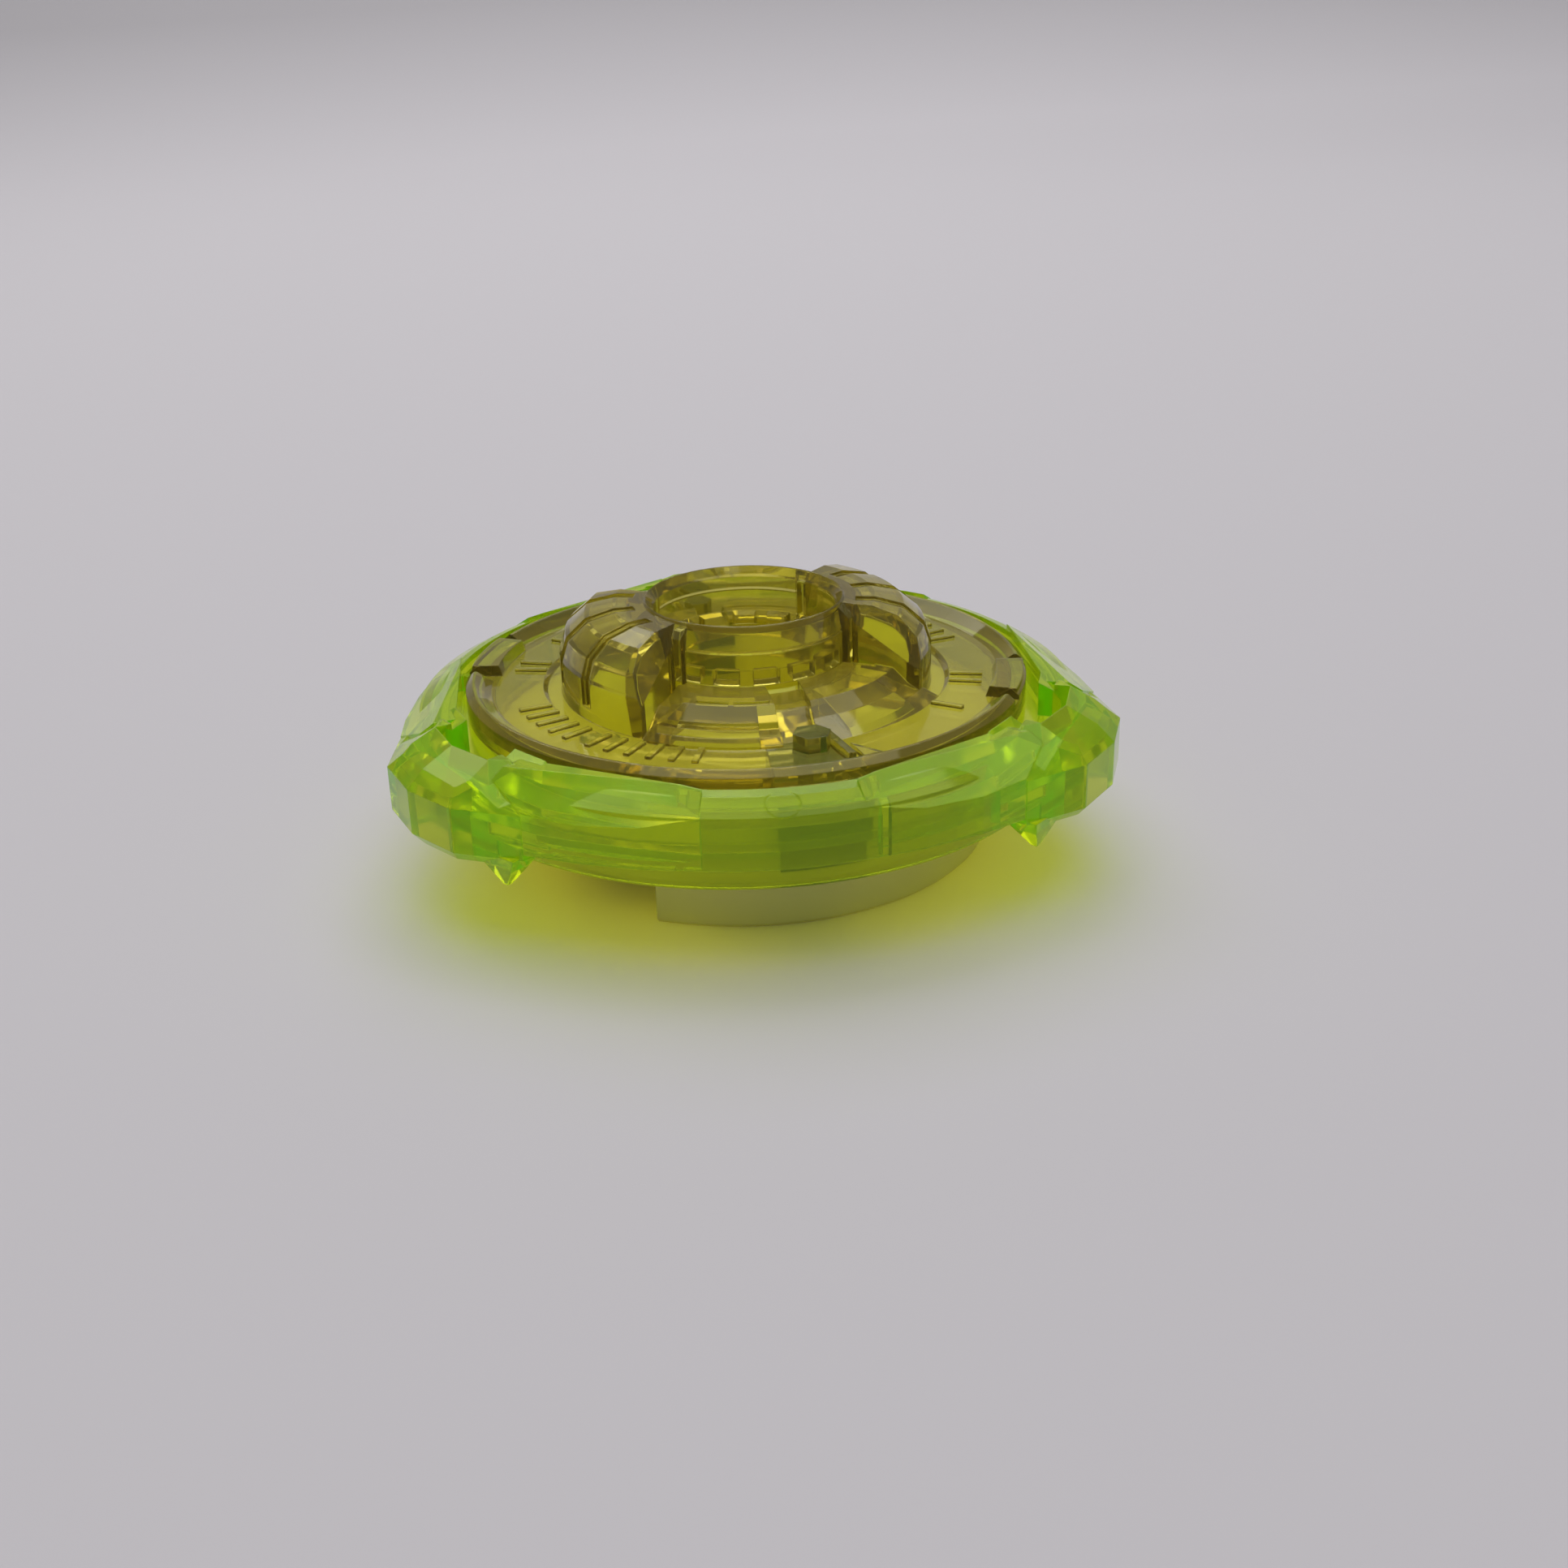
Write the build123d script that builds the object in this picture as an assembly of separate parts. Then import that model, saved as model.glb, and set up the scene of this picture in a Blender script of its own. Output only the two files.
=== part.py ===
from build123d import *
import math
import os

# Light-up battle top body, lying face down with its hub upwards.
# Millimetres. Z = 0 is the plane the foot arcs stand on and the Z axis is the spin axis.
# A bearing is an angle about +Z in degrees, counted from -Y towards +X.

# ---- driving dimensions ----
DISC_R = 20.0            # outer radius of the smoky core disc
DISC_TOP = 12.35         # top of its raised lip
DISC_EDGE_LOW = 10.15    # underside of its rim, which holds the contact ring down
DISC_FLOOR = 11.6        # outer floor inside the lip
DISC_INNER_FLOOR = 11.25 # floor inside the step
DISC_UNDER = 10.4        # underside of the floor
LID_TOP = 7.4            # the core disc stands on the housing lid here
LID_LOW = 6.6
LID_R = 19.9
SKIRT_R = 18.9           # outer radius of the disc's bearing skirt
SKIRT_WALL = 0.9

HUB_R = 7.45             # outer radius of the launcher hub
HUB_TOP = 17.5
HUB_BORE_R = 6.45
HUB_LEDGE = 14.2         # top of the toothed ledge inside the bore
HUB_BASE = 12.8
BAR_GROUPS = ((-68, 5), (-39, 6), (78, 2), (60, 1))   # first bearing and count of the plain floor bars
BAR_PITCH = 5.4
BAR_HEIGHT = 0.2

LUG_BEARING = -74.0      # middle of the first of two opposite lugs
LUG_HALF = 42.0          # half angle of a lug at its outer wall
LUG_R = 13.25
LUG_TOP = 17.3
LUG_GROOVES = (-24, -3, 18)
LUG_WALL = 1.15

CLIP_BEARING = 14.0      # middle of the first of two opposite lock clips
CLIP_HALF = 9.0
CLIP_LEG = (18.3, 4.9)    # inner radius and lower end of the leg outside the housing
CLIP_POST = (14.9, 16.0)  # radius and bearing of its hexagonal head
FOOT_BEARING = 33.0      # middle of the first of two opposite foot arcs
FOOT_HALF = 55.0
FOOT_R = 17.3
FOOT_WALL = 1.7

HOUSING_LOW = 3.0        # face of the housing, above the foot arcs' ground plane
HOUSING_WALL_R = 18.2
HOUSING_WALL = 1.0
HOUSING_FLOOR = 0.8

RING_BEARING = 5.0       # middle of the front plain arc of the contact ring
RING_BORE_R = 21.1
RING_WALL_R = 23.35
RING_FLANGE_R = 19.2
RING_FLANGE = (7.7, 9.85)        # underside and top of the captured flange
RING_WALL_LOW = 7.15
RING_WALL_TOP = 10.7
RING_SKIRT = (21.3, 22.1, 5.2)   # inner radius, outer radius, lower edge
RING_CHANNEL = (22.25, 22.85)    # inner and outer radius of the slots in the wall
RING_CHANNEL_TOP = (10.5, 9.85)  # where a slot's sloping top meets each of them
RING_CHANNEL_END = 38.0
RING_RIB = (16.5, 0.75)          # bearing from the plain arc's middle, and half angle
CRYSTAL_LEDGE = 10.0
CRYSTAL_LOW = 5.9
CRYSTAL_SPUR_LOW = 4.5
CRYSTAL_TIP_R = 27.05
CRYSTAL_BROW_R = 26.7

CELL_R = 6.25            # 1220 coin cell
CELL_THICK = 2.0
DOOR_R = 9.4
DOOR_THICK = 0.9
BOARD = (7.2, 12.7, 5.0, 5.6)    # inner radius, outer radius, underside, top
BOSS_R = 13.2
BOSS_BEARINGS = (45, 135, 225, 315)
LED_R = 11.0
LED_BEARINGS = {"led_left": LUG_BEARING, "led_right": LUG_BEARING + 180}

SWITCH_Z = 5.2           # axis height of the spin switch, which points along -Y
WEIGHT = (10.0, 12.2)    # inner and outer end of the sliding weight
WEIGHT_R = 0.95
SWITCH_TRAVEL = 0.8
FIT_GAP = 0.1
BIG = 60.0

os.makedirs("parts", exist_ok=True)


# ---- helpers ----
def polar(radius, bearing, z=0.0):
    a = math.radians(bearing)
    return (radius * math.sin(a), -radius * math.cos(a), z)


def face_on_radius(points):
    """Closed face in the half plane through +X from (radius, height) points."""
    return Plane.XZ * make_face(Polyline(*points, close=True))


def turned(points):
    return revolve(face_on_radius(points), Axis.Z)


def turned_sector(points, start, end):
    """Part of a turned shape, from one bearing to another."""
    return Rot(Z=start - 90) * revolve(face_on_radius(points), Axis.Z, revolution_arc=end - start)


def prism(corners, low, high):
    """Upright prism from (radius, bearing) corners."""
    outline = Polyline(*[polar(r, b)[:2] for r, b in corners], close=True)
    return Pos(0, 0, low) * extrude(make_face(outline), high - low)


def tube(outer, inner, low, high):
    return turned([(inner, low), (outer, low), (outer, high), (inner, high)])


def post(radius, bearing, r, low, high):
    x, y, _ = polar(radius, bearing)
    return Pos(x, y, (low + high) / 2) * Cylinder(r, high - low)


def radial_box(radius, bearing, length, width, low, high):
    """Box whose length runs along the bearing, centred at a radius."""
    return Rot(Z=bearing) * Pos(0, -radius, (low + high) / 2) * Box(width, length, high - low)


def trimmed(solid, plane_points, keep):
    """Cut along the plane through three points and keep the side of a point."""
    a, b, c = (Vector(*p) for p in plane_points)
    normal = (b - a).cross(c - a).normalized()
    if (Vector(*keep) - a).dot(normal) > 0:
        normal = normal * -1
    return split(solid, bisect_by=Plane(origin=a, z_dir=normal), keep=Keep.BOTTOM)


def pair(shape):
    """A shape and its copy half a turn away."""
    return [shape, Rot(Z=180) * shape]


# ---- smoky core: disc, hub, lugs and stepped blocks ----
# Outline of a lug over its shoulder, as (radius, height, outward normal).
LUG_SHOULDER = [
    (7.9, LUG_TOP, (0.0, 1.0)), (9.3, LUG_TOP, (0.15, 1.0)), (11.3, 16.8, (0.45, 0.9)),
    (12.75, 15.55, (0.8, 0.6)), (LUG_R, 14.1, (0.97, 0.22)), (LUG_R, 12.2, (1.0, 0.0)),
]


def shoulder_line(offset):
    return [(r + offset * n[0], z + offset * n[1]) for r, z, n in LUG_SHOULDER]


def shoulder_groove(width, depth):
    """Cutter that follows a lug's shoulder, on the +X side."""
    band = face_on_radius(shoulder_line(0.5) + shoulder_line(-depth)[::-1])
    return extrude(band, width / 2, both=True)


def lug():
    """Block with a facetted shoulder that grips the launcher, centred on the front."""
    top = [(r, z) for r, z, _ in LUG_SHOULDER[1:-1]]
    solid = turned_sector([(7.0, LUG_TOP), (7.0, DISC_UNDER), (LUG_R, DISC_UNDER)] + top[::-1],
                          -LUG_HALF - 6, LUG_HALF + 6)
    inside = polar(11.0, 0, 12)
    for side in (-1, 1):
        wall = [polar(7.4, side * 35), polar(LUG_R, side * LUG_HALF), polar(7.4, side * 35, 10)]
        solid = trimmed(solid, wall, inside)
        bevel = [polar(8.0, side * 32.5, LUG_TOP), polar(12.6, side * 37.5, 15.8),
                 polar(LUG_R, side * (LUG_HALF + 0.5), 13.2)]
        solid = trimmed(solid, bevel, inside)
    solid += turned_sector([(7.1, 12.5), (8.0, 12.5), (8.0, 16.5), (7.1, LUG_TOP)], -40.5, 40.5)
    for bearing in LUG_GROOVES:
        for width, depth in ((1.0, 0.2), (0.5, 0.45)):
            solid -= Rot(Z=bearing - 90) * shoulder_groove(width, depth)
    return solid


def lug_core():
    """Hollow moulded into a lug from below, which leaves its walls about a millimetre thick."""
    dome = shoulder_line(-LUG_WALL)
    low = DISC_UNDER - 0.1
    solid = turned_sector([(8.4, low), (8.4, dome[0][1])] + dome[1:] + [(dome[-1][0], low)],
                          -LUG_HALF, LUG_HALF)
    inside = polar(11.0, 0, 12)
    for side in (-1, 1):
        end = [polar(8.4, side * 24.5, 17), polar(12.0, side * 33.5, 14.5), polar(12.0, side * 36, 10.4)]
        solid = trimmed(solid, end, inside)
    return solid


def near_block():
    """Raised arc outside the hub: a steep bright slope with two low steps below it."""
    solid = turned_sector([
        (7.2, DISC_UNDER), (13.7, DISC_UNDER), (13.7, 11.4), (13.3, 11.9), (12.2, 12.0), (12.05, 12.45),
        (10.9, 13.3), (7.2, 13.3),
    ], -36, 9.5)
    end = [polar(9.0, -30, 13.3), polar(12.1, -26.5, 12.45), polar(13.0, -32.5, 11.3)]
    return trimmed(solid, end, polar(11, 0, 12))


def far_block():
    """Raised arc outside the hub: a steep bright slope with one long low slope below it."""
    solid = turned_sector([
        (7.2, DISC_UNDER), (14.45, DISC_UNDER), (14.45, 11.5), (12.3, 12.45), (11.2, 13.3), (7.2, 13.3),
    ], 18, 67)
    end = [polar(7.5, 28, 12), polar(12.4, 20.5, 12), polar(7.5, 28, 13)]
    return trimmed(solid, end, polar(11, 40, 12))


def block_cores():
    """Hollows moulded into the near and the far block from below."""
    low = DISC_UNDER - 0.1
    near = turned_sector([(8.6, low), (12.5, low), (12.5, 11.1), (11.2, 11.9), (8.6, 12.2)], -24, 3.5)
    far = turned_sector([(8.6, low), (13.2, low), (12.9, 11.1), (11.6, 11.7), (8.6, 12.2)], 31, 58)
    return near, far


def index_pad():
    """Flat pad across the lip, with a slot cut at each end of it."""
    top = DISC_TOP + 0.06
    return turned_sector([(17.6, 11.5), (19.8, 11.5), (19.8, top), (17.9, top)], 69, 87)


def lip_notches():
    return [radial_box(19.3, b, 3.2, 1.0, DISC_FLOOR, DISC_TOP + 1) for b in (67.4, 88.6)]


def floor_bars():
    """Plain raised bars on the outer floor, where a maker would put its own marks."""
    low, high = DISC_FLOOR - 0.1, DISC_FLOOR + BAR_HEIGHT
    return [radial_box(15.75, first + BAR_PITCH * i, 2.3, 0.42, low, high)
            for first, count in BAR_GROUPS for i in range(count)]


def clip_recess(grow=0.0):
    """Space that a lock clip's block fills under the disc floor and rim."""
    half = CLIP_HALF + 0.3 + grow
    inner, low, outer, top = 12.6 - grow, LID_TOP - 1, 19.0, 10.95
    return turned_sector([(inner, low), (outer, low), (outer, top), (inner, top)],
                         CLIP_BEARING - half, CLIP_BEARING + half)


def core_disc():
    solid = turned([
        (HUB_BORE_R, LID_TOP), (7.9, LID_TOP), (7.9, DISC_UNDER), (SKIRT_R - SKIRT_WALL, DISC_UNDER),
        (SKIRT_R - SKIRT_WALL, LID_TOP), (SKIRT_R, LID_TOP), (SKIRT_R, DISC_EDGE_LOW),
        (DISC_R - 0.15, DISC_EDGE_LOW), (DISC_R, DISC_EDGE_LOW + 0.15), (DISC_R, 11.93),
        (19.5, DISC_TOP), (19.3, DISC_TOP), (18.2, DISC_FLOOR), (14.55, DISC_FLOOR),
        (14.25, DISC_INNER_FLOOR), (12.9, DISC_INNER_FLOOR), (11.2, 12.4), (10.6, 12.7),
        (HUB_R + 0.25, HUB_BASE - 0.05), (HUB_R, HUB_BASE + 0.15), (HUB_R, 15.58), (HUB_R - 0.16, 15.66),
        (HUB_R - 0.06, 15.8), (7.1, HUB_TOP - 0.1), (7.0, HUB_TOP), (6.6, 16.95), (HUB_BORE_R, 16.8),
        (HUB_BORE_R, HUB_LEDGE), (5.65, HUB_LEDGE - 0.1), (5.65, 13.4), (HUB_BORE_R, 13.1),
    ])
    for shape in pair(Rot(Z=LUG_BEARING) * lug()):
        solid += shape
    for shape in pair(near_block()) + pair(far_block()) + pair(index_pad()):
        solid += shape
    for core in (Rot(Z=LUG_BEARING) * lug_core(), *block_cores()):
        for shape in pair(core):
            solid -= shape
    solid -= tube(HUB_BORE_R, 0, HUB_LEDGE, HUB_TOP + 1)
    for bearing in range(0, 360, 24):
        solid -= radial_box(5.7, bearing, 1.4, 0.9, 13.0, HUB_LEDGE + 0.5)
    for shape in pair(radial_box(6.6, 140, 0.9, 0.6, HUB_LEDGE, HUB_TOP - 0.9)):
        solid -= shape
    for start, end in ((-19, -7), (-5, 8)):
        for shape in pair(turned_sector([(10.3, 13.0), (10.6, 13.0), (10.6, 14), (10.3, 14)], start, end)):
            solid -= shape
    for cutter in lip_notches():
        for shape in pair(cutter):
            solid -= shape
    for bar in floor_bars():
        for shape in pair(bar):
            solid += shape
    for shape in pair(clip_recess()):
        solid -= shape
    gusset = radial_box(16.2, 21.0, 4.4, 0.5, DISC_INNER_FLOOR - 0.2, 12.3)
    wedge = prism([(16.2, 24.0), (18.5, 23.4), (18.5, 27.5)], DISC_FLOOR - 0.2, 12.0)
    for shape in pair(gusset) + pair(wedge):
        solid += shape
    for shape in pair(clip_post(0.06)):
        solid -= shape
    return solid


def clip_post(grow=0.0):
    """Hexagonal head of a lock clip, which stands through the disc floor."""
    x, y, _ = polar(*CLIP_POST)
    head = extrude(RegularPolygon(1.3 + grow, 6), 2.65)
    return Pos(x, y, 10.0) * Rot(Z=16) * head


def clip_leg(half, top, grow=0.0):
    """Leg of a lock clip, which reaches down past the edge of the lid."""
    inner, low = CLIP_LEG
    inner -= grow
    return turned_sector([(inner, low), (LID_R + 1, low), (LID_R + 1, top), (inner, top)],
                         CLIP_BEARING - half, CLIP_BEARING + half)


def lock_clips():
    """Two dark clips that lock the smoky disc to the housing lid."""
    clip = clip_recess(-0.1) - tube(30, SKIRT_R - 0.05, 0, 20)
    clip -= tube(30, 0, 0, LID_TOP)
    clip -= tube(30, 0, 10.9, 20)
    clip += clip_post()
    clip += radial_box(16.5, CLIP_BEARING, 0.8, 3.0, 6.1, LID_TOP + 0.1)
    clip += clip_leg(CLIP_HALF - 0.3, LID_TOP + 0.1) - tube(30, SKIRT_R - 0.05, 0, 20)
    return Compound(children=[s for c in pair(clip) for s in c.solids()])


# ---- green contact ring ----
def crystal_crown():
    """Raised middle of a crystal lump, centred on the front."""
    corners = [(22.6, -15), (24.9, -19.5), (CRYSTAL_BROW_R, -9.5), (CRYSTAL_TIP_R, 0), (CRYSTAL_BROW_R, 9.5),
               (24.9, 19.5), (22.6, 15)]
    solid = prism(corners, CRYSTAL_LOW, 12.2)
    inside = polar(24.5, 0, 8)
    for s in (-1, 1):
        tip, brow, end = (CRYSTAL_TIP_R, 0), (CRYSTAL_BROW_R, 9.5 * s), (24.9, 19.5 * s)
        facets = [
            [polar(*tip, CRYSTAL_LEDGE), polar(*brow, CRYSTAL_LEDGE), polar(25.5, 5 * s, 11.2)],
            [polar(*brow, CRYSTAL_LEDGE), polar(*end, CRYSTAL_LEDGE), polar(24.2, 13 * s, 11.3)],
            [polar(25.6, 0, 11.25), polar(25.3, 8 * s, 11.15), polar(23.6, 5 * s, 12.05)],
            [polar(23.4, 9.7 * s, 12.0), polar(25.6, 9.3 * s, 11.0), polar(25.1, 17 * s, 10.1)],
            [polar(*tip, 6.9), polar(*brow, 6.9), polar(25.9, 5 * s, CRYSTAL_LOW)],
            [polar(*brow, 6.9), polar(*end, 6.9), polar(24.5, 14 * s, CRYSTAL_LOW)],
        ]
        for facet in facets:
            solid = trimmed(solid, facet, inside)
    return solid


def crystal_plateau(side):
    """Dished shoulder facet at one end of a crystal lump."""
    corners = [(21.15, 5 * side), (26.3, 5 * side), (CRYSTAL_BROW_R, 9.5 * side), (24.9, 19.5 * side),
               (22.4, 20.5 * side), (21.15, 19.5 * side)]
    solid = prism(corners, CRYSTAL_LOW + 1.0, 13.0)
    inside = polar(23.5, 14 * side, 8)
    top = [polar(21.1, 17.5 * side, 12.15), polar(21.1, 8 * side, 12.25), polar(25.1, 16.5 * side, 10.25)]
    flank = [polar(21.1, 17 * side, 12.15), polar(24.6, 19.5 * side, 10.4), polar(21.1, 19.8 * side, 11.3)]
    brow = [polar(CRYSTAL_BROW_R, 9.5 * side, CRYSTAL_LEDGE), polar(24.9, 19.5 * side, CRYSTAL_LEDGE),
            polar(24.2, 13 * side, 11.3)]
    for facet in (top, flank, brow):
        solid = trimmed(solid, facet, inside)
    return solid


def shoulder(side):
    """Wall that swells in flats from the plain arc out to a lump."""
    outline = [(RING_WALL_R, 47), (23.9, 38), (24.4, 28), (24.85, 19.6), (24.0, 12), (21.5, 12), (21.5, 47)]
    solid = prism([(r, b * side) for r, b in outline], RING_WALL_LOW, 12.0)
    top = [polar(RING_WALL_R, 47 * side, RING_WALL_TOP), polar(24.9, 19.5 * side, 10.15),
           polar(21.8, 32 * side, 11.5)]
    low = [polar(RING_WALL_R, 47 * side, RING_WALL_LOW), polar(24.9, 19.5 * side, 7.3),
           polar(22.3, 30 * side, RING_WALL_LOW - 0.1)]
    inside = polar(22.6, 30 * side, 9)
    for facet in (top, low):
        solid = trimmed(solid, facet, inside)
    return solid


def crystal_spur(side):
    """Small pyramid that points down under one end of a lump."""
    x, y, _ = polar(24.0, 14.5 * side)
    base = Pos(0, 0, 7.0) * Rectangle(3.9, 2.9)
    tip = Pos(0, -0.3, CRYSTAL_SPUR_LOW) * Rectangle(0.4, 0.4)
    return Pos(x, y, 0) * Rot(Z=14.5 * side) * loft([base, tip])


def ring_channels():
    """Slots moulded into the plain arc from below, which leave a thin wall and two ribs."""
    inner, outer = RING_CHANNEL
    inner_top, outer_top = RING_CHANNEL_TOP
    rib, half = RING_RIB
    low = RING_WALL_LOW - 1
    profile = [(inner, low), (outer, low), (outer, outer_top), (inner, inner_top)]
    spans = [(-RING_CHANNEL_END, -rib - half), (-rib + half, rib - half), (rib + half, RING_CHANNEL_END)]
    return [turned_sector(profile, start, end) for start, end in spans]


def ejector_mark():
    """Thin circle that an ejector pin leaves on the sloping top of the plain arc, at the front."""
    radius, height, slope = 22.45, 11.18, 28.2
    circle = Cylinder(1.15, 0.12) - Cylinder(1.05, 0.12)
    return Pos(*polar(radius, 0, height)) * Rot(X=slope) * circle


def contact_ring():
    skirt_in, skirt_out, skirt_low = RING_SKIRT
    low, high = RING_FLANGE
    solid = turned([
        (RING_FLANGE_R, low), (RING_FLANGE_R, high), (RING_BORE_R, high), (RING_BORE_R, 11.7),
        (21.85, 11.5), (RING_WALL_R, RING_WALL_TOP), (RING_WALL_R, RING_WALL_LOW),
        (skirt_out, RING_WALL_LOW - 0.25), (skirt_out, skirt_low + 0.15), (skirt_out - 0.15, skirt_low),
        (skirt_in, skirt_low), (skirt_in, low),
    ])
    pocket = prism([(20, -9), (23.2, -9), (23.6, 0), (23.2, 9), (20, 9)], high, 14)
    core = prism([(23.9, -7.5), (25.7, -7.5), (26.0, 0), (25.7, 7.5), (23.9, 7.5)], 4, 9.9)
    for k in range(3):
        turn = Rot(Z=RING_BEARING + 60 + 120 * k)
        solid += turn * crystal_crown()
        for side in (-1, 1):
            solid += turn * crystal_plateau(side)
            solid += turn * shoulder(side)
            solid += turn * crystal_spur(side)
        solid -= turn * pocket
        solid -= turn * core
        middle = RING_BEARING + 120 * k
        for cutter in (*ring_channels(), ejector_mark()):
            solid -= Rot(Z=middle) * cutter
        for side in (-1, 1):
            solid += radial_box(20.85, middle + RING_RIB[0] * side, 0.8, 0.6, high - 0.2, 11.0)
    return solid


# ---- milky housing and its battery door ----
def housing_bosses(low, high, r):
    return [post(BOSS_R, b, r, low, high) for b in BOSS_BEARINGS]


def base_housing():
    inner = HOUSING_WALL_R - HOUSING_WALL
    floor_top = HOUSING_LOW + HOUSING_FLOOR
    solid = turned([
        (DOOR_R + 0.1, HOUSING_LOW), (FOOT_R, HOUSING_LOW), (HOUSING_WALL_R, HOUSING_LOW + 0.9),
        (HOUSING_WALL_R, LID_LOW), (inner, LID_LOW), (inner, floor_top + 0.1), (10.6, floor_top + 0.1),
        (10.6, 4.7), (CELL_R + 0.2, 4.7), (CELL_R + 0.2, HOUSING_LOW + DOOR_THICK),
        (DOOR_R + 0.1, HOUSING_LOW + DOOR_THICK),
    ])
    for shape in housing_bosses(HOUSING_LOW, BOARD[2], 2.1):
        solid += shape
    foot = turned_sector([
        (FOOT_R - FOOT_WALL, 0.15), (FOOT_R - FOOT_WALL + 0.15, 0), (FOOT_R - 0.25, 0), (FOOT_R, 0.25),
        (FOOT_R, HOUSING_LOW + 0.1), (FOOT_R - FOOT_WALL, HOUSING_LOW + 0.1),
    ], FOOT_BEARING - FOOT_HALF, FOOT_BEARING + FOOT_HALF)
    for shape in pair(foot):
        solid += shape
    for b in BOSS_BEARINGS:
        solid -= post(BOSS_R, b, 1.35, HOUSING_LOW - 1, 4.0)
        solid -= post(BOSS_R, b, 0.8, 3.5, BOARD[2] + 1)
    for b in (90, 270):
        solid -= post(8.0, b, 0.45, HOUSING_LOW, 5)
    return solid - radial_box(11.5, 0, 4.0, 3.1, floor_top + 0.1, BOARD[2])


def housing_lid():
    solid = tube(LID_R, 0, LID_LOW, LID_TOP)
    for shape in housing_bosses(BOARD[3], LID_LOW + 0.1, 1.7):
        solid += shape
    for b in BOSS_BEARINGS:
        solid -= post(BOSS_R, b, 0.62, 5, 7.15)
    for b in LED_BEARINGS.values():
        solid -= post(LED_R, b, 1.5, 6, 8)
    for shape in pair(radial_box(16.5, CLIP_BEARING, 0.9, 3.1, 6, 8)) + pair(clip_leg(CLIP_HALF, 8, 0.1)):
        solid -= shape
    return solid


def battery_door():
    solid = tube(DOOR_R, 0, HOUSING_LOW, HOUSING_LOW + DOOR_THICK)
    for b in (90, 270):
        solid -= post(8.0, b, 1.1, HOUSING_LOW - 1, HOUSING_LOW + 0.5)
        solid -= post(8.0, b, 0.6, HOUSING_LOW, 5)
    solid -= Pos(0, 0, HOUSING_LOW) * Box(9.0, 1.4, 0.5)
    return solid


def screw(x, y, head_low, head_r, head_height, shank_r, tip):
    solid = Pos(x, y, head_low + head_height / 2) * Cylinder(head_r, head_height)
    solid += Pos(x, y, (head_low + tip) / 2) * Cylinder(shank_r, tip - head_low)
    for turn in (0, 90):
        solid -= Pos(x, y, head_low) * Rot(Z=turn) * Box(head_r * 1.2, head_r * 0.3, head_height * 0.8)
    return solid


def case_screws():
    screws = [screw(*polar(BOSS_R, b)[:2], 3.15, 1.2, 0.8, 0.6, 7.05) for b in BOSS_BEARINGS]
    return Compound(children=screws)


def door_screws():
    screws = [screw(*polar(8.0, b)[:2], HOUSING_LOW + 0.05, 1.0, 0.42, 0.43, 4.6) for b in (90, 270)]
    return Compound(children=screws)


# ---- light unit, sealed in the housing ----
def coin_cell():
    low = HOUSING_LOW + DOOR_THICK
    return turned([
        (0, low), (CELL_R - 0.2, low), (CELL_R, low + 0.2), (CELL_R, low + CELL_THICK - 0.2),
        (CELL_R - 0.2, low + CELL_THICK - 0.05), (CELL_R - 0.7, low + CELL_THICK - 0.05),
        (CELL_R - 0.8, low + CELL_THICK), (0, low + CELL_THICK),
    ])


def circuit_board():
    """Ring with an ear at each boss and a tongue under the switch."""
    inner, outer, low, high = BOARD
    solid = tube(outer, inner, low, high) + radial_box(13.4, 0, 3.6, 5.4, low, high)
    for b in BOSS_BEARINGS:
        solid += post(BOSS_R, b, 2.0, low, high)
    for b in BOSS_BEARINGS:
        solid -= post(BOSS_R, b, 0.9, low - 1, high + 1)
    return solid - radial_box(10.3, 0, 7.4, 3.4, low - 1, high + 1)


def led(bearing):
    """Small surface-mount lamp with a domed lens."""
    top = BOARD[3]
    body = radial_box(LED_R, bearing, 2.0, 2.4, top, top + 0.5)
    x, y, _ = polar(LED_R, bearing)
    return body + Pos(x, y, top + 0.65) * Cone(0.85, 0.6, 0.35)


def light_windows():
    """Clear round lenses in the lid, one over each lamp."""
    lenses = [post(LED_R, b, 1.45, LID_LOW, LID_TOP) for b in LED_BEARINGS.values()]
    return Compound(children=lenses)


def driver_chip():
    """Bare chip under a blob of epoxy."""
    x, y, _ = polar(LED_R, 180)
    blob = Pos(0, 0, 0.25) * Cylinder(1.5, 0.5) + Pos(0, 0, 0.65) * Cone(1.5, 0.9, 0.3)
    return Pos(x, y, BOARD[3]) * blob


def resistor():
    return radial_box(LED_R, 156, 0.8, 1.6, BOARD[3], BOARD[3] + 0.45)


def contact_positive():
    """Sprung clip that bears on the side of the cell's can."""
    clip = turned_sector([(CELL_R + 0.01, 4.8), (CELL_R + 0.16, 4.8), (CELL_R + 0.16, 5.75),
                          (CELL_R + 0.01, 5.75)], 200, 240)
    return clip + radial_box(7.5, 220, 2.4, 1.4, BOARD[3], BOARD[3] + 0.15)


def contact_negative():
    """Leaf that bridges from the board to the middle of the cell."""
    cell_top = HOUSING_LOW + DOOR_THICK + CELL_THICK
    leaf = radial_box(4.6, 90, 8.6, 1.8, cell_top, cell_top + 0.15)
    leg = radial_box(8.8, 90, 0.2, 1.8, BOARD[3], cell_top + 0.15)
    return leaf + leg + radial_box(9.3, 90, 1.2, 1.8, BOARD[3], BOARD[3] + 0.15)


def along_switch(radius, low, high):
    """Cylinder on the spin switch's axis, between two radii."""
    return Pos(0, -(low + high) / 2, SWITCH_Z) * Rot(X=90) * Cylinder(radius, high - low)


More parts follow.
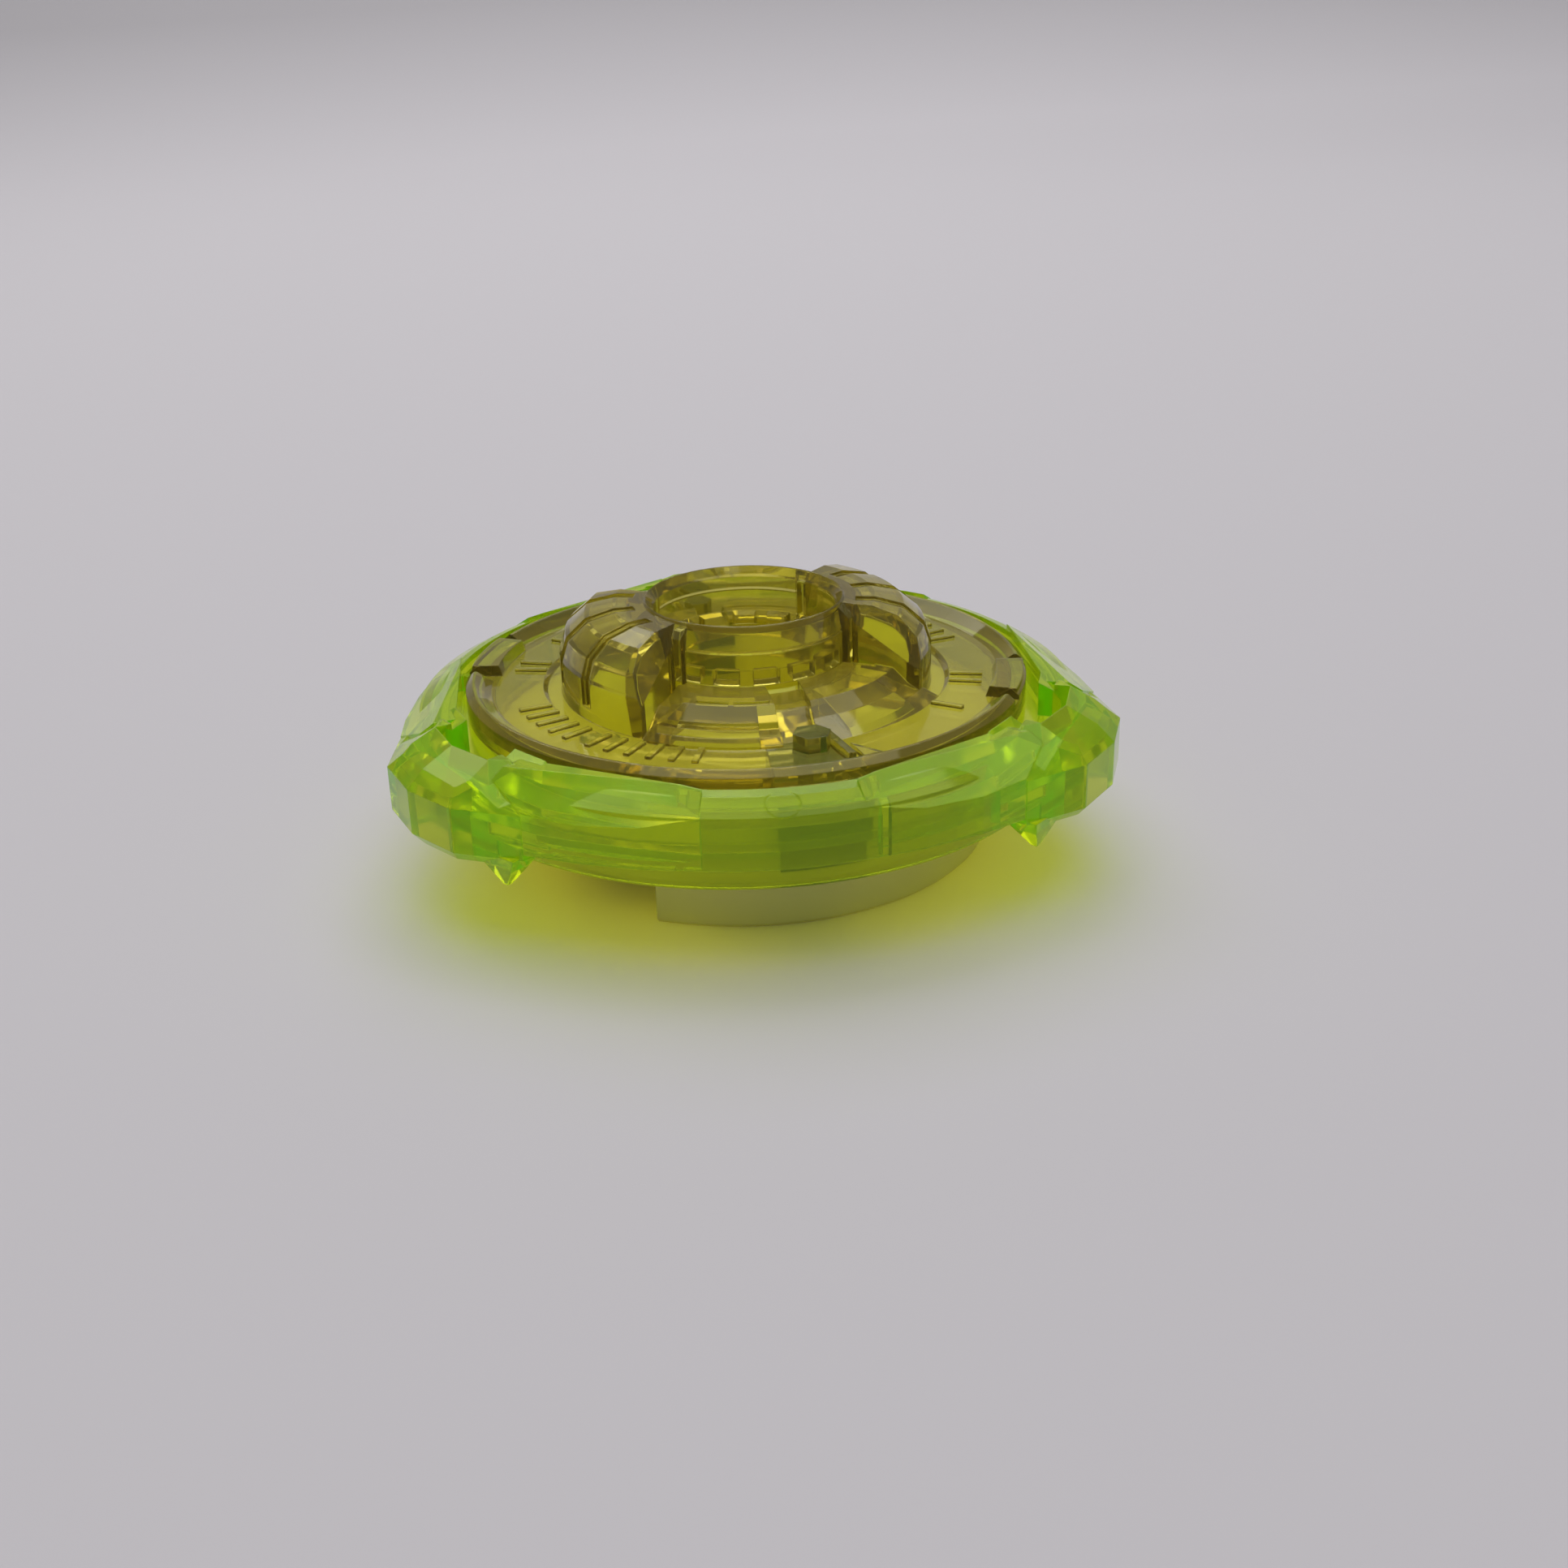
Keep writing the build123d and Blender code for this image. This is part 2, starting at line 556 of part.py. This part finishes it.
def switch_guide():
    """Channel block on the housing floor that guides the weight and stops it at rest."""
    floor = HOUSING_LOW + HOUSING_FLOOR + 0.1
    block = radial_box(11.5, 0, 3.8, 2.9, floor, 6.45)
    block += radial_box(11.5, 0, 1.2, 5.0, BOARD[3], BOARD[3] + 0.15)
    return block - along_switch(WEIGHT_R + FIT_GAP, WEIGHT[0] - FIT_GAP, 14)


def switch_contact():
    """Fixed stud that the weight meets when the top spins fast."""
    reach = WEIGHT[1] + SWITCH_TRAVEL + 0.03
    plate = radial_box(13.75, 0, 0.3, 2.4, HOUSING_LOW + HOUSING_FLOOR + 0.1, 6.3)
    tab = radial_box(14.4, 0, 1.2, 2.4, BOARD[3], BOARD[3] + 0.15)
    return plate + tab + along_switch(0.3, reach, 13.7)


def switch_spring():
    """Coil round the stud, which keeps the weight off it at rest."""
    coil = Helix(pitch=0.42, height=13.58 - WEIGHT[1] - 0.12, radius=0.62)
    wire = sweep(Plane(origin=coil @ 0, z_dir=coil % 0) * Circle(0.09), path=coil)
    return Pos(0, -WEIGHT[1] - 0.11, SWITCH_Z) * Rot(X=90) * wire


PARTS = {
    "core_disc": core_disc,
    "lock_clips": lock_clips,
    "contact_ring": contact_ring,
    "base_housing": base_housing,
    "housing_lid": housing_lid,
    "light_windows": light_windows,
    "battery_door": battery_door,
    "door_screws": door_screws,
    "case_screws": case_screws,
    "coin_cell": coin_cell,
    "circuit_board": circuit_board,
    "driver_chip": driver_chip,
    "resistor": resistor,
    "contact_positive": contact_positive,
    "contact_negative": contact_negative,
    "switch_guide": switch_guide,
    "switch_weight": lambda: along_switch(WEIGHT_R, *WEIGHT),
    "switch_contact": switch_contact,
    "switch_spring": switch_spring,
}

for name, bearing in LED_BEARINGS.items():
    PARTS[name] = lambda bearing=bearing: led(bearing)

to_origin = Pos(0, 0, -HUB_LEDGE)
for name, make in PARTS.items():
    export_step(to_origin * make(), f"parts/{name}.step")
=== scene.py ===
import math

import bpy
from mathutils import Matrix, Vector

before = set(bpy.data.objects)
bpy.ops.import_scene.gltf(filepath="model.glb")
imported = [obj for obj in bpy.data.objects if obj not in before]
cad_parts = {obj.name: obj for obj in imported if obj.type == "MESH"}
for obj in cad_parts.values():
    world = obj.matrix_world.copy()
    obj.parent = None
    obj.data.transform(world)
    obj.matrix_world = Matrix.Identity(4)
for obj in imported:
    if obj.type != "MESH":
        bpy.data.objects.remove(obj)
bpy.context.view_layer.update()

# Metres. The row frame's origin is in the launcher hub, this far above the table.
ORIGIN_HEIGHT = 0.0142
TABLE_Z = -ORIGIN_HEIGHT

CLIP_BLOCK_TOP = TABLE_Z + 0.0109   # a clip's hexagonal head stands above this, through the disc floor
EDGE_RADIUS = 0.00012               # moulded and cut edges are rounded this much
WALL_PATH = 0.003                   # length over which the wall plastics' body colours are given
RING_PATH = 0.010                   # the same, for the thicker contact ring
PLASTIC_IOR = 1.5

CLIP_TINT = (0.05, 0.20, 0.14)
CLIP_HEAD_TINT = (0.80, 0.74, 0.26)
BRASS = (0.8, 0.62, 0.28)
LAMP_LENS = (0.9, 0.88, 0.7)
TABLE_PAINT = (0.60, 0.575, 0.60)


# ---- node helpers ----
def material(name):
    """New node material, with its node tree and its Principled shader."""
    mat = bpy.data.materials.new(name)
    mat.use_nodes = True
    tree = mat.node_tree
    return mat, tree, tree.nodes["Principled BSDF"]


def noise(tree, scale, detail=2.0, roughness=0.5):
    """Noise fixed to the piece. scale is in lumps per metre."""
    coords = tree.nodes.new("ShaderNodeTexCoord")
    tex = tree.nodes.new("ShaderNodeTexNoise")
    tex.inputs["Scale"].default_value = scale
    tex.inputs["Detail"].default_value = detail
    tex.inputs["Roughness"].default_value = roughness
    tree.links.new(coords.outputs["Object"], tex.inputs["Vector"])
    return tex


def remap(tree, source, low, high):
    """Spread the middle of a noise's range between two numbers."""
    node = tree.nodes.new("ShaderNodeMapRange")
    node.inputs["From Min"].default_value = 0.3
    node.inputs["From Max"].default_value = 0.7
    node.inputs["To Min"].default_value = low
    node.inputs["To Max"].default_value = high
    tree.links.new(source, node.inputs["Value"])
    return node.outputs["Result"]


def bump(tree, shader, height, strength, distance):
    """Fine relief over rounded edges."""
    rounded = tree.nodes.new("ShaderNodeBevel")
    rounded.samples = 4
    rounded.inputs["Radius"].default_value = EDGE_RADIUS
    node = tree.nodes.new("ShaderNodeBump")
    tree.links.new(rounded.outputs["Normal"], node.inputs["Normal"])
    node.inputs["Strength"].default_value = strength
    node.inputs["Distance"].default_value = distance
    tree.links.new(height, node.inputs["Height"])
    tree.links.new(node.outputs["Normal"], shader.inputs["Normal"])


def body_of(tree, transmitted, path, painted_glow):
    """Body of a clear plastic: these shares of red, green and blue pass along a path. A fluorescent one
    also gets a painted green light on the way: a fixed emission of its body, not raised by the lamps, that
    stands in for its fluorescence."""
    rates = [-math.log(share) / path for share in transmitted]
    density = max(rates)
    out = tree.nodes["Material Output"].inputs["Volume"]
    dye = tree.nodes.new("ShaderNodeVolumeAbsorption")
    dye.inputs["Color"].default_value = [1 - rate / density for rate in rates] + [1]
    dye.inputs["Density"].default_value = density
    if not painted_glow:
        tree.links.new(dye.outputs["Volume"], out)
        return
    light = tree.nodes.new("ShaderNodeEmission")
    light.inputs["Color"].default_value = (*painted_glow[:3], 1)
    light.inputs["Strength"].default_value = painted_glow[3]
    both = tree.nodes.new("ShaderNodeAddShader")
    tree.links.new(dye.outputs["Volume"], both.inputs[0])
    tree.links.new(light.outputs["Emission"], both.inputs[1])
    tree.links.new(both.outputs["Shader"], out)


def pass_lamp_light(tree, shader, share):
    """Let this share of a lamp's light through each surface, so that the plastic casts a tinted shadow."""
    path_info = tree.nodes.new("ShaderNodeLightPath")
    through = tree.nodes.new("ShaderNodeBsdfTransparent")
    through.inputs["Color"].default_value = (*share, 1)
    mix = tree.nodes.new("ShaderNodeMixShader")
    tree.links.new(path_info.outputs["Is Shadow Ray"], mix.inputs[0])
    tree.links.new(shader.outputs["BSDF"], mix.inputs[1])
    tree.links.new(through.outputs["BSDF"], mix.inputs[2])
    tree.links.new(mix.outputs["Shader"], tree.nodes["Material Output"].inputs["Surface"])


def clear_plastic(name, tint, transmitted, shadow, path=WALL_PATH, rough=0.03, clarity=1.0, painted_glow=None,
                  gloss=(1, 1, 1)):
    """Tinted clear plastic. clarity below 1 makes it milky; for a fluorescent body the colour and strength
    of a painted emission are given, which stands in for its fluorescence; shadow is the share of a lamp's
    light that a surface lets through and gloss tints its shine."""
    mat, tree, shader = material(name)
    shader.inputs["Base Color"].default_value = (*tint, 1)
    shader.inputs["Specular Tint"].default_value = (*gloss, 1)
    shader.inputs["Transmission Weight"].default_value = clarity
    shader.inputs["IOR"].default_value = PLASTIC_IOR
    worn = noise(tree, 420, 4)
    tree.links.new(remap(tree, worn.outputs["Fac"], rough, rough + 0.05), shader.inputs["Roughness"])
    ripple = noise(tree, 260, 1)
    bump(tree, shader, ripple.outputs["Fac"], 0.12, 0.0002)
    body_of(tree, transmitted, path, painted_glow)
    pass_lamp_light(tree, shader, shadow)
    return mat


def milky_plastic(name, tint, rough=0.45):
    """Satin plastic of the base's family, which lets some light through."""
    return clear_plastic(name, tint, (0.95, 0.95, 0.7), (0.95, 0.96, 0.55), rough=rough, clarity=0.30)


def tint_above(mat, height, low_tint, high_tint, band=0.0003):
    """Change a clear plastic's tint over a narrow band that starts at a height in the frame."""
    tree = mat.node_tree
    place = tree.nodes.new("ShaderNodeTexCoord")
    axes = tree.nodes.new("ShaderNodeSeparateXYZ")
    step = tree.nodes.new("ShaderNodeMapRange")
    step.inputs["From Min"].default_value = height
    step.inputs["From Max"].default_value = height + band
    ramp = tree.nodes.new("ShaderNodeValToRGB")
    ramp.color_ramp.elements[0].color = (*low_tint, 1)
    ramp.color_ramp.elements[1].color = (*high_tint, 1)
    tree.links.new(place.outputs["Object"], axes.inputs["Vector"])
    tree.links.new(axes.outputs["Z"], step.inputs["Value"])
    tree.links.new(step.outputs["Result"], ramp.inputs["Fac"])
    tree.links.new(ramp.outputs["Color"], tree.nodes["Principled BSDF"].inputs["Base Color"])


def solid_plastic(name, color, rough, grain=1400):
    """Opaque plastic with a fine grain and uneven gloss."""
    mat, tree, shader = material(name)
    shader.inputs["Base Color"].default_value = (*color, 1)
    worn = noise(tree, 300, 4)
    tree.links.new(remap(tree, worn.outputs["Fac"], rough - 0.06, rough + 0.08), shader.inputs["Roughness"])
    fine = noise(tree, grain, 3)
    bump(tree, shader, fine.outputs["Fac"], 0.15, 0.00005)
    return mat


def metal(name, color, rough):
    """Handled metal with uneven gloss."""
    mat, tree, shader = material(name)
    shader.inputs["Base Color"].default_value = (*color, 1)
    shader.inputs["Metallic"].default_value = 1.0
    worn = noise(tree, 900, 4)
    tree.links.new(remap(tree, worn.outputs["Fac"], rough - 0.08, rough + 0.1), shader.inputs["Roughness"])
    bump(tree, shader, worn.outputs["Fac"], 0.1, 0.00003)
    return mat


# ---- finishes of the CAD nodes ----
smoky = clear_plastic("smoky_plastic", (0.86, 0.81, 0.27), (0.76, 0.70, 0.34), (0.92, 0.90, 0.62),
                      clarity=0.92, gloss=(1.0, 0.95, 0.6))
smoky_dark = clear_plastic("smoky_dark_plastic", CLIP_TINT, (0.66, 0.70, 0.46), (0.7, 0.72, 0.5),
                           clarity=0.88, gloss=(0.8, 0.8, 0.6))
tint_above(smoky_dark, CLIP_BLOCK_TOP, CLIP_TINT, CLIP_HEAD_TINT)
# The contact ring's fluorescence is painted in: its body gives off a fixed green emission whatever the lamps
# do.
green = clear_plastic("green_plastic", (0.70, 0.77, 0.06), (0.80, 0.90, 0.06), (0.75, 0.79, 0.27),
                      path=RING_PATH, rough=0.08, clarity=0.87, painted_glow=(0.08, 1.0, 0.02, 10.0),
                      gloss=(0.7, 0.95, 0.3))
finishes = {
    "core_disc": smoky,
    "lock_clips": smoky_dark,
    "contact_ring": green,
    "base_housing": milky_plastic("base_plastic", (0.80, 0.77, 0.38)),
    "housing_lid": milky_plastic("lid_plastic", (0.60, 0.68, 0.10)),
    "light_windows": clear_plastic("lens_plastic", (0.98, 0.98, 0.98), (0.9, 0.9, 0.88), (0.95, 0.95, 0.95)),
    "battery_door": milky_plastic("door_plastic", (0.78, 0.75, 0.38), rough=0.48),
    "door_screws": metal("door_screw_steel", (0.62, 0.62, 0.64), 0.3),
    "case_screws": metal("case_screw_steel", (0.6, 0.6, 0.62), 0.32),
    "coin_cell": metal("cell_nickel", (0.75, 0.75, 0.76), 0.25),
    "circuit_board": solid_plastic("solder_mask", (0.03, 0.2, 0.08), 0.35),
    "led_left": solid_plastic("lamp_lens_left", LAMP_LENS, 0.25),
    "led_right": solid_plastic("lamp_lens_right", LAMP_LENS, 0.25),
    "driver_chip": solid_plastic("chip_epoxy", (0.02, 0.02, 0.02), 0.4),
    "resistor": solid_plastic("resistor_body", (0.03, 0.03, 0.03), 0.35),
    "contact_positive": metal("positive_brass", BRASS, 0.28),
    "contact_negative": metal("negative_brass", BRASS, 0.28),
    "switch_guide": metal("guide_brass", BRASS, 0.3),
    "switch_weight": metal("weight_brass", (0.78, 0.6, 0.3), 0.25),
    "switch_contact": metal("stud_brass", BRASS, 0.3),
    "switch_spring": metal("spring_wire", (0.55, 0.56, 0.58), 0.3),
}
for node_name, finish in finishes.items():
    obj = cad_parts[node_name]
    obj.data.materials.clear()
    obj.data.materials.append(finish)


# ---- table ----
def painted_shade_by_height(tree, shader, color):
    """Painted shade on the table: the paint darkens as the backdrop rises, and a little towards its left."""
    full_below, dark_above, dark_share, lean = TABLE_Z + 0.004, TABLE_Z + 0.05, 0.74, -0.03
    place = tree.nodes.new("ShaderNodeTexCoord")
    rise = tree.nodes.new("ShaderNodeVectorMath")
    rise.operation = "DOT_PRODUCT"
    rise.inputs[1].default_value = (lean, 0, 1)
    tree.links.new(place.outputs["Object"], rise.inputs[0])
    shade = tree.nodes.new("ShaderNodeMapRange")
    shade.inputs["From Min"].default_value = full_below
    shade.inputs["From Max"].default_value = dark_above
    shade.inputs["To Min"].default_value = 1.0
    shade.inputs["To Max"].default_value = dark_share
    tree.links.new(rise.outputs["Value"], shade.inputs["Value"])
    paint = tree.nodes.new("ShaderNodeVectorMath")
    paint.operation = "SCALE"
    paint.inputs[0].default_value = color
    tree.links.new(shade.outputs["Result"], paint.inputs["Scale"])
    tree.links.new(paint.outputs["Vector"], shader.inputs["Base Color"])


def backdrop():
    """Floor that curves up behind the object."""
    front, bend, radius, height, half_width, steps = -1.6, 0.5, 0.5, 1.2, 2.0, 16
    line = [(front, 0.0), (bend, 0.0)]
    for i in range(1, steps + 1):
        a = math.radians(90 * i / steps)
        line.append((bend + radius * math.sin(a), radius * (1 - math.cos(a))))
    line.append((bend + radius, height))
    verts = [(x, y, z + TABLE_Z) for y, z in line for x in (-half_width, half_width)]
    faces = [(2 * i, 2 * i + 1, 2 * i + 3, 2 * i + 2) for i in range(len(line) - 1)]
    mesh = bpy.data.meshes.new("table")
    mesh.from_pydata(verts, [], faces)
    mesh.polygons.foreach_set("use_smooth", [True] * len(faces))
    obj = bpy.data.objects.new("table", mesh)
    bpy.context.scene.collection.objects.link(obj)
    mat, tree, shader = material("table_paint")
    shader.inputs["Roughness"].default_value = 0.7
    # painted shade: the table's paint darkens up the backdrop and a little towards its left
    painted_shade_by_height(tree, shader, TABLE_PAINT)
    mesh.materials.append(mat)


backdrop()


# ---- light ----
def area_light(name, place, target, size, power):
    """White rectangular lamp that faces a target. power is in watts."""
    data = bpy.data.lights.new(name, "AREA")
    data.shape = "RECTANGLE"
    data.size, data.size_y = size
    data.energy = power
    obj = bpy.data.objects.new(name, data)
    obj.location = place
    obj.rotation_euler = (Vector(target) - Vector(place)).to_track_quat("-Z", "Y").to_euler()
    bpy.context.scene.collection.objects.link(obj)


def add_sky():
    """Dim, slightly blue light from all round."""
    world = bpy.data.worlds.new("studio")
    world.use_nodes = True
    background = world.node_tree.nodes["Background"]
    background.inputs["Color"].default_value = (0.86, 0.86, 0.90, 1)
    background.inputs["Strength"].default_value = 0.18
    bpy.context.scene.world = world


area_light("window", (-0.15, 0.55, 0.75), (0, 0, 0), (1.0, 0.7), 4.2)
area_light("ceiling", (0.1, 0.0, 1.0), (0, 0.05, 0), (1.2, 1.0), 5.6)
add_sky()
bpy.context.scene.view_settings.view_transform = "Standard"


# ---- camera, where the object was seen from ----
def turned_towards(a, b, degrees):
    """Two axes at right angles, both turned so that the first moves towards the second."""
    angle = math.radians(degrees)
    return a * math.cos(angle) + b * math.sin(angle), b * math.cos(angle) - a * math.sin(angle)


def add_camera():
    """Camera aimed at the middle of the disc, then panned, tilted and rolled a little."""
    place = Vector((0.0, -0.12656, 0.05815 + TABLE_Z))
    aim = Vector((0.0, 0.0, 0.01235 + TABLE_Z))
    pan, tilt, roll = 1.04, -3.75, -1.86
    forward = (aim - place).normalized()
    right = Vector((1, 0, 0))
    up = right.cross(forward)
    forward, right = turned_towards(forward, right, pan)
    forward, up = turned_towards(forward, up, tilt)
    right, up = turned_towards(right, up, roll)
    data = bpy.data.cameras.new("camera")
    data.sensor_width = 36.0
    data.lens = 42.88
    data.clip_start = 0.005
    cam = bpy.data.objects.new("camera", data)
    cam.matrix_world = Matrix((
        (right.x, up.x, -forward.x, place.x),
        (right.y, up.y, -forward.y, place.y),
        (right.z, up.z, -forward.z, place.z),
        (0, 0, 0, 1)))
    bpy.context.scene.collection.objects.link(cam)
    bpy.context.scene.camera = cam


add_camera()
